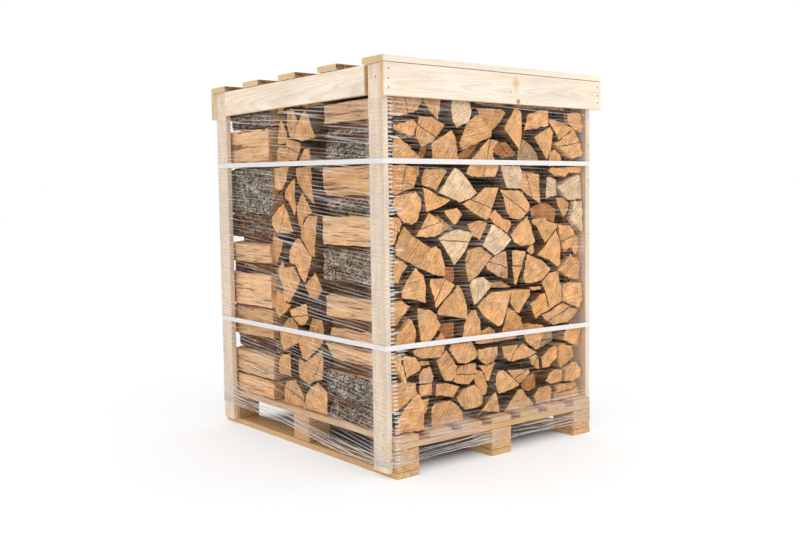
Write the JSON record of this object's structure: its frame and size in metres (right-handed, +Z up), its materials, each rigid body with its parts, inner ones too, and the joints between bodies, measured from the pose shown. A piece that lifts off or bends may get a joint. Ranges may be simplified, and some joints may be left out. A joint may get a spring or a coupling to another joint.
{
  "type": "pallet of firewood",
  "caption": "Split firewood stacked on a wooden block pallet between corner posts, under a slatted lid, held by plastic straps and a sleeve of stretch film.",
  "frame": {"origin": "on the ground under the middle of the whole load, lid included", "axes": "+Z up, X along the face that shows the log ends, with the lid's longer overhang towards +X, and Y into the depth of the pallet"},
  "size_m": [1.0996, 1.202, 1.4328],
  "materials": {
    "pallet_timber": "rough sawn pallet boards, slightly weathered",
    "block_wood": "coarse orange-brown pallet block with open end grain",
    "spruce_timber": "pale sawn spruce with fine grain and a few knots",
    "firewood": "split and sawn hardwood, with grey-green bark on some logs",
    "strap_plastic": "white woven plastic strapping",
    "film_plastic": "clear stretch film with pulled streaks"
  },
  "bodies": {
    "root": {"block_back_centre": "block_wood", "block_back_left": "block_wood", "block_back_right": "block_wood", "block_front_centre": "block_wood", "block_front_left": "block_wood", "block_front_right": "block_wood", "block_middle_centre": "block_wood", "block_middle_left": "block_wood", "block_middle_right": "block_wood", "bottom_board_centre": "pallet_timber", "bottom_board_left": "pallet_timber", "bottom_board_right": "pallet_timber", "cross_board_back": "pallet_timber", "cross_board_front": "pallet_timber", "cross_board_middle": "pallet_timber", "deck_board_1": "pallet_timber", "deck_board_2": "pallet_timber", "deck_board_3": "pallet_timber", "deck_board_4": "pallet_timber", "deck_board_5": "pallet_timber", "deck_board_6": "pallet_timber", "deck_board_7": "pallet_timber", "firewood_back_row": "firewood", "firewood_front_row": "firewood", "firewood_middle_row": "firewood", "lid_apron_back": "spruce_timber", "lid_apron_front": "spruce_timber", "lid_rail_left": "spruce_timber", "lid_rail_right": "spruce_timber", "lid_slat_1": "spruce_timber", "lid_slat_2": "spruce_timber", "lid_slat_3": "spruce_timber", "lid_slat_4": "spruce_timber", "lid_slat_5": "spruce_timber", "post_back_left": "spruce_timber", "post_back_right": "spruce_timber", "post_front_left": "spruce_timber", "post_front_right": "spruce_timber", "strap_lower": "strap_plastic", "strap_upper": "strap_plastic", "stretch_film": "film_plastic"}
  },
  "joints": []
}
